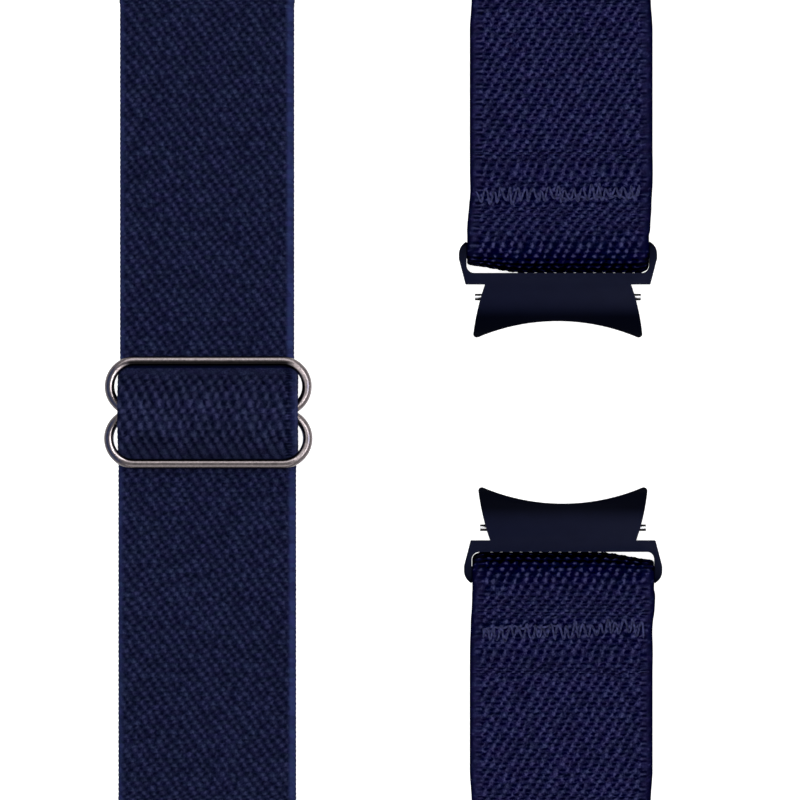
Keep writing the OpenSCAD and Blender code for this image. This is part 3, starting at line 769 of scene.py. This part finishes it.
class STRAP_OT_left_webbing(StrapOperator):
    """Builds the left column: the free tail, the layers under it and the pass over the adjuster"""

    bl_idname = "strap.left_webbing"
    bl_label = "Left webbing"

    def build(self, sizes, colours):
        nylon = woven_nylon("ribbed_nylon_webbing", "left", colours)
        relief = sizes.left_relief
        high, low, over = sizes.left_width / MM, sizes.left_low_width / MM, sizes.over_width / MM

        def tail_width(s):
            return high + (WEB_W - high) * soft(*TAIL_WIDENS, s)

        def low_width(s):
            return low + (WEB_W - low) * soft(*LOW_WIDENS, s)

        def over_width(s):
            y = OVER_SLIDER.at(s)[0]
            return low + (over - low) * soft(-7.0, -5.0, y) + (high - over) * soft(5.0, 7.0, y)

        def loop_width(s):
            return high - 0.2 + (LOOP_W - high) * soft(4.5, 8.0, s)

        def at_slider(path, shift):
            """Lays a sheet along a path from the adjuster's middle, shifted to the right there."""
            place = in_column(path, LEFT_X)

            def placed(u, s, h):
                x, y, z = place(u, s, h)
                return x + shift * soft(-8, -4, y) * soft(8, 4, y), y + MIDDLE_Y, z

            return placed

        top_y, low_y = MIDDLE_Y + HUMP_HALF, MIDDLE_Y - HUMP_HALF
        made = {}
        for name, node, path, place, width, v_at, cell in (
            ("free_tail_webbing", "free_tail", FREE_TAIL, in_column(FREE_TAIL, LEFT_X),
             tail_width, lambda s: top_y + s, LEFT_CELL),
            ("upper_column_webbing", "upper_column", UPPER_COLUMN, in_column(UPPER_COLUMN, LEFT_X),
             tail_width, lambda s: top_y + s, COVERED_CELL),
            ("lower_column_webbing", "lower_column", LOWER_COLUMN,
             in_column(LOWER_COLUMN, LEFT_X, up=False), low_width, lambda s: low_y - s, LEFT_CELL),
            ("webbing_over_adjuster", "strap_over_slider", OVER_SLIDER,
             at_slider(OVER_SLIDER, OVER_SHIFT), over_width,
             lambda s: OVER_SLIDER.at(s)[0] + MIDDLE_Y, OVER_CELL),
            ("webbing_round_centre_bar", "slider_loop", SLIDER_LOOP, at_slider(SLIDER_LOOP, 0),
             loop_width, lambda s: LOOP_WEAVE_Y - s, COVERED_CELL),
        ):
            made[node] = woven_sheet(name, place, path.length, width, left_weave, v_at, relief, cell)
            finish_piece(made[node], nylon, node)
        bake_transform(made["free_tail"])
        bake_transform(made["lower_column"])
        for node in ("upper_column", "strap_over_slider", "slider_loop"):
            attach(made[node], "upper_half")


class STRAP_OT_right_webbing(StrapOperator):
    """Builds the right column: the runs and the ends sewn round the adapters' crossbars"""

    bl_idname = "strap.right_webbing"
    bl_label = "Right webbing"

    def build(self, sizes, colours):
        nylon = woven_nylon("knotted_nylon_webbing", "right", colours)
        relief, wide = sizes.right_relief, sizes.right_width / MM

        def end_width(s):
            """Pinched at the seam, and narrower round the crossbar and under it."""
            t = s - WRAP_START
            pinched = 0.14 * hill(t + 7.65, 1.6)
            return wide - pinched - 0.2 * soft(-2.6, -1.6, t) - 0.6 * soft(0, 3, t - WRAP_LEN)

        for up, half, path in ((True, "upper", UPPER_RUN), (False, "lower", LOWER_RUN)):
            sign = 1 if up else -1
            end_y = (UPPER_END if up else LOWER_END)[1] + sign * END_LEN

            def run_width(s):
                return wide + (WEB_W - wide) * soft(path.length - 8, path.length - 4, s)

            run = woven_sheet(
                half + "_run_webbing", in_column(path, RUN_X, up), path.length, run_width,
                right_weave, lambda s: end_y + sign * s, relief, RIGHT_CELL,
            )
            finish_piece(run, nylon, half + "_run")
            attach(run, half + "_half")

            def end_v(s):
                return end_y - sign * (s + 1.04 * np.clip(s - WRAP_START, 0, WRAP_LEN))

            end = woven_sheet(
                half + "_end_webbing", at_end(up), END_LOOP.length, end_width,
                right_weave, end_v, relief, RIGHT_CELL, tightness_and_shade,
            )
            finish_piece(end, nylon, half + "_end_loop")
            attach(end, half + "_half")


class STRAP_OT_cross_rows(StrapOperator):
    """Builds the two cross rows and the four 45 degree folds"""

    bl_idname = "strap.cross_rows"
    bl_label = "Rows and folds"

    def build(self, sizes, colours):
        nylons = {
            "left": woven_nylon("ribbed_nylon_folds", "left", colours),
            "right": woven_nylon("knotted_nylon_rows", "right", colours),
        }
        length = WEB_W + 2 * FOLD_SHIFT
        for up, half, side in ((True, "upper", "top"), (False, "lower", "bottom")):
            sign = 1 if up else -1
            for right, hand, x in ((False, "left", LEFT_X), (True, "right", RIGHT_X)):
                node = f"{side}_{hand}_fold"
                made = woven_sheet(
                    node + "_webbing", at_fold(x, right, up), length, lambda s: WEB_W + 0 * s,
                    right_weave if right else left_weave, lambda s: sign * (FOLD_Y + s),
                    sizes.left_relief, ROW_CELL,
                )
                finish_piece(made, nylons[hand], node)
                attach(made, half + "_half")
            row = woven_sheet(
                side + "_row_webbing", in_row(up), RIGHT_X - LEFT_X - WEB_W - 2 * FOLD_SHIFT,
                lambda s: WEB_W + 0 * s, right_weave,
                lambda s: sign * (FOLD_Y + length + s), sizes.right_relief, ROW_CELL,
            )
            finish_piece(row, nylons["right"], side + "_row")
            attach(row, half + "_half")


def zigzag(count, half, near, far, slant, seed):
    """Points of an uneven zigzag across the strap that runs back a short way along its near side,
    sunk at every other corner."""
    luck = random.Random(seed)
    corners = []
    for i in range(2 * count + 1):
        x = -half + i * half / count + luck.uniform(-0.2, 0.2)
        corners.append((x, (near if i % 2 else far) + luck.uniform(-0.4, 0.4) + slant * x / half))
    corners.reverse()
    for i in range(9):
        x = 0.2 - half * (1 - 0.12 * i)
        corners.append((x, near - (0.1 if i % 2 else 0.4) + luck.uniform(-0.1, 0.1) + slant * x / half))
    points = []
    for (x0, y0), (x1, y1) in zip(corners, corners[1:]):
        sway = luck.uniform(-0.12, 0.12)
        sinks = len(points) // STITCH_POINTS % 2
        for t in np.linspace(0, 1, STITCH_POINTS + 1)[:-1]:
            bend, turn = math.sin(math.pi * t), (1 - math.cos(math.pi * t)) / 2
            bow = math.sin(math.pi / 2 * (1 - t if sinks else t)) ** 0.6
            height = STITCH_RISE * bow - STITCH_SUNK + sway * bend
            points.append((x0 + (x1 - x0) * t + sway * bend, y0 + (y1 - y0) * turn, height))
    return points + [(*corners[-1], -STITCH_SUNK)]


class STRAP_OT_sewing(StrapOperator):
    """Sews the ends, the centre loop and the tail's hem"""

    bl_idname = "strap.sewing"
    bl_label = "Sewing"

    def build(self, sizes, colours):
        material = spun_thread("bonded_polyester_thread", colours.thread)
        radius = sizes.thread_radius / MM

        def sew(name, node, body, points):
            rise = np.abs(np.sin(np.pi * np.arange(len(points)) / (2 * STITCH_POINTS)))
            made = thread(name, points, radius * (0.6 + 0.4 * rise))
            finish_piece(made, material, node)
            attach(made, body)

        top = LEVEL + WEB_T
        for sign, half, (cx, cy), seed in ((-1, "upper", UPPER_END, 11), (1, "lower", LOWER_END, 23)):
            flat = zigzag(20, 10.5, -SEW_START - 0.6, -SEW_START - 2.4, 0.33, seed)
            points = [(cx + sign * x, cy + sign * y, top - 0.03 + z) for x, y, z in flat]
            sew(half + "_end_thread", half + "_end_sewing", half + "_half", points)
        points = []
        for x, y, z in zigzag(13, 9.6, 1.1, 2.3, 0, 31):
            points.append((LEFT_X + x, MIDDLE_Y + y, rise_z(y) - 0.1 - z))
        sew("centre_loop_thread", "slider_loop_sewing", "upper_half", points)
        points = []
        tops = np.array(FREE_TAIL.moved(WEB_T))
        for x, y, z in zigzag(13, 10.4, TAIL_END_Y - 1.5, TAIL_END_Y - 0.6, 0, 41):
            points.append((LEFT_X + x, y, float(np.interp(y, tops[:, 0], tops[:, 1])) + 0.05 + z))
        sew("tail_hem_thread", "tail_hem_sewing", "lower_half", points)


class STRAP_OT_wire_adjuster(StrapOperator):
    """Bends the wire adjuster: two long rings that share the centre bar"""

    bl_idname = "strap.wire_adjuster"
    bl_label = "Wire adjuster"

    def build(self, sizes, colours):
        nickel = polished_metal("polished_nickel_wire", colours.wire, 1.0, 0.2, 3500.0)
        rings = []
        for side, half in ((1, TOP_HALF), (-1, LOW_HALF)):
            inner = MIDDLE_Y + side * WIRE_SPLIT / 2
            bpy.ops.mesh.primitive_circle_add(
                vertices=32, radius=WIRE_R * MM, rotation=(0, math.pi / 2, 0),
                location=((WIRE_X + half) * MM, inner * MM, SLIDER_Z * MM),
            )
            ring = bpy.context.object
            bpy.ops.object.transform_apply(location=True, rotation=True, scale=True)
            bpy.ops.object.mode_set(mode="EDIT")
            bpy.ops.mesh.select_all(action="SELECT")
            for end in (1, -1):
                centre = Vector((WIRE_X + end * half, MIDDLE_Y + side * RING_Y, SLIDER_Z)) * MM
                bpy.ops.mesh.spin(steps=40, angle=-math.pi * side, center=centre, axis=(0, 0, 1))
                bpy.ops.mesh.extrude_region_move(
                    TRANSFORM_OT_translate={"value": (-end * 2 * half * MM, 0, 0)}
                )
            bpy.ops.mesh.select_all(action="SELECT")
            bpy.ops.mesh.remove_doubles(threshold=0.00001)
            bpy.ops.mesh.normals_make_consistent(inside=False)
            bpy.ops.object.mode_set(mode="OBJECT")
            rings.append(ring)
        for ring in rings:
            ring.select_set(True)
        bpy.ops.object.join()
        made = bpy.context.object
        made.name = made.data.name = "wire_adjuster_polished"
        bpy.ops.object.shade_smooth()
        co = np.zeros(3 * len(made.data.vertices))
        made.data.vertices.foreach_get("co", co)
        x, y = co.reshape(-1, 3).T[:2] / MM
        # Painted reflection and painted highlights, kept with the wire's points
        put_attribute(made, "lost_gleam", *lost_gleam(x - WIRE_X, y - MIDDLE_Y))
        finish_piece(made, nickel, "slide_frame")
        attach(made, "upper_half")


class STRAP_OT_adapters(StrapOperator):
    """Rounds the edges of the two adapters and coats them"""

    bl_idname = "strap.adapters"
    bl_label = "Adapters"

    def build(self, sizes, colours):
        heights = (0.0033, 0.0041)
        coating = satin_coating("satin_coated_steel", colours.coating, colours.coating_shade, heights)
        edges = satin_coating("satin_coated_edges", colours.coating_shade, colours.coating_shade, heights)
        for half in ("upper", "lower"):
            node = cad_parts[half + "_adapter"]
            made = node.copy()
            made.data = node.data.copy()
            made.parent = None
            for key in list(made.keys()):
                del made[key]
            made.name = made.data.name = half + "_adapter_coated"
            bpy.context.scene.collection.objects.link(made)
            made.select_set(True)
            bpy.context.view_layer.objects.active = made
            bpy.ops.object.mode_set(mode="EDIT")
            bpy.ops.mesh.select_all(action="SELECT")
            bpy.ops.mesh.remove_doubles(threshold=0.000002)
            bpy.ops.mesh.dissolve_limited(angle_limit=math.radians(0.5))
            bpy.ops.object.mode_set(mode="OBJECT")
            made.data.materials.clear()
            made.data.materials.append(coating)
            made.data.materials.append(edges)
            bevel = made.modifiers.new("edges", "BEVEL")
            bevel.width = sizes.edge_radius
            bevel.segments = 2
            bevel.limit_method = "ANGLE"
            bevel.angle_limit = math.radians(35)
            bevel.use_clamp_overlap = True
            # The rounded edges take the second material, which is painted shade all over
            bevel.material = 1
            bpy.ops.object.modifier_apply(modifier="edges")
            bpy.ops.object.shade_smooth_by_angle(angle=math.radians(35))
            made.select_set(False)
            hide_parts(half + "_adapter")
            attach(made, half + "_adapter")


class STRAP_OT_spring_bars(StrapOperator):
    """Polishes the spring bars and winds their springs"""

    bl_idname = "strap.spring_bars"
    bl_label = "Spring bars"

    def build(self, sizes, colours):
        # The spring bars get a strong painted shade down their flanks
        steel = polished_metal("polished_spring_steel", colours.steel, 0.06, 0.18, 3000.0)
        spring_wire_r, turns, steps_per_turn = 0.1, 12, 20
        for half in ("upper", "lower"):
            for part in ("_bar_tube", "_bar_plunger", "_release_lever"):
                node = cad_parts[half + part]
                node.data.materials.clear()
                node.data.materials.append(steel)
            low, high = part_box(half + "_bar_spring")
            y, z = (low.y + high.y) / 2 / MM, (low.z + high.z) / 2 / MM
            coil = (high.z - low.z) / 2 / MM - spring_wire_r
            t = np.linspace(0, 1, turns * steps_per_turn + 1)
            turned = 2 * turns * np.pi * t
            start, end = low.x / MM + spring_wire_r, high.x / MM - spring_wire_r
            points = np.stack(
                [start + (end - start) * t, y + coil * np.cos(turned), z + coil * np.sin(turned)], -1
            )
            made = thread(half + "_bar_spring_wound", points, spring_wire_r, sides=6)
            finish_piece(made, steel, half + "_bar_spring")
            ends = [(start * MM, y * MM, z * MM), (end * MM, y * MM, z * MM)]
            if half == "upper":
                ends.reverse()
            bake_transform(made)


# Lamps as (place in metres, watts, width in metres, whether only metal mirrors it)
LAMPS = (
    ((-0.1, 0.12, 1.3), 12.0, 0.8, False),
    ((0.4, -0.3, 1.4), 2.2, 0.7, False),
    ((0.0, 0.96, 0.88), 15.0, 1.05, True),
    ((0.66, 0.0, 1.12), 15.0, 0.7, True),
    ((0.0, -1.02, 0.8), 3.2, 0.7, True),
)


class STRAP_OT_stage(StrapOperator):
    """Sets the white floor, the lights and the camera straight above the strap"""

    bl_idname = "strap.stage"
    bl_label = "Stage"

    def build(self, sizes, colours):
        scene = bpy.context.scene
        bpy.ops.mesh.primitive_plane_add(size=6, location=(0, 0, -0.0002))
        floor = bpy.context.object
        floor.name = "floor"
        material, tree = new_material("white_backdrop")
        matt = add(tree, "BsdfDiffuse", {"Color": (0.6, 0.6, 0.6, 1)})[0]
        glow = add(tree, "Emission", {"Color": (1, 1, 1, 1), "Strength": 0.9})[0]
        both = add(tree, "AddShader", (matt, glow))[0]
        mixed = add(tree, "MixShader", (seen_directly(tree), matt, both))[0]
        add(tree, "OutputMaterial", (mixed,))
        floor.data.materials.append(material)
        world = bpy.data.worlds.new("studio")
        world.use_nodes = True
        tree = world.node_tree
        tree.nodes.clear()
        seen = seen_directly(tree)
        strength = add(tree, "Math", (seen, 0.68, 0.32), operation="MULTIPLY_ADD")[0]
        sky = add(tree, "Background", {"Color": (1, 1, 1, 1), "Strength": strength})[0]
        add(tree, "OutputWorld", (sky,))
        scene.world = world
        for place, power, wide, mirrored in LAMPS:
            bpy.ops.object.light_add(type="AREA", location=place)
            lamp = bpy.context.object
            lamp.visible_glossy, lamp.visible_diffuse = mirrored, not mirrored
            lamp.data.energy = power
            lamp.data.size = wide
            inwards = Vector((0, 0, 0)) - Vector(place)
            lamp.rotation_euler = inwards.to_track_quat("-Z", "Y").to_euler()
        bpy.ops.object.camera_add(location=(VIEW_X * MM, 0, VIEW_HEIGHT * MM), rotation=(0, 0, 0))
        camera = bpy.context.object
        camera.data.sensor_width = SENSOR
        camera.data.lens = SENSOR * (VIEW_HEIGHT - SCALE_HEIGHT) / FRAME_W
        camera.data.clip_end = 20
        scene.camera = camera
        scene.view_settings.view_transform = "Standard"


class STRAP_PT_panel(bpy.types.Panel):
    bl_idname = "STRAP_PT_panel"
    bl_label = "Watch strap"
    bl_space_type = "VIEW_3D"
    bl_region_type = "UI"
    bl_category = "Watch strap"

    def draw(self, context):
        for group in (context.scene.strap_sizes, context.scene.strap_colours):
            for key in group.__annotations__:
                self.layout.prop(group, key)
        for operator in OPERATORS:
            self.layout.operator(operator.bl_idname)


OPERATORS = (
    STRAP_OT_left_webbing,
    STRAP_OT_right_webbing,
    STRAP_OT_cross_rows,
    STRAP_OT_sewing,
    STRAP_OT_wire_adjuster,
    STRAP_OT_adapters,
    STRAP_OT_spring_bars,
    STRAP_OT_stage,
)
CLASSES = (StrapSizes, StrapColours, *OPERATORS, STRAP_PT_panel)


def register():
    for item in CLASSES:
        bpy.utils.register_class(item)
    bpy.types.Scene.strap_sizes = bpy.props.PointerProperty(type=StrapSizes)
    bpy.types.Scene.strap_colours = bpy.props.PointerProperty(type=StrapColours)


def unregister():
    del bpy.types.Scene.strap_sizes
    del bpy.types.Scene.strap_colours
    for item in reversed(CLASSES):
        bpy.utils.unregister_class(item)


def main():
    register()
    for operator in OPERATORS:
        group, name = operator.bl_idname.split(".")
        if getattr(getattr(bpy.ops, group), name)() != {"FINISHED"}:
            raise RuntimeError(operator.bl_label + " did not finish")


if __name__ == "__main__":
    main()
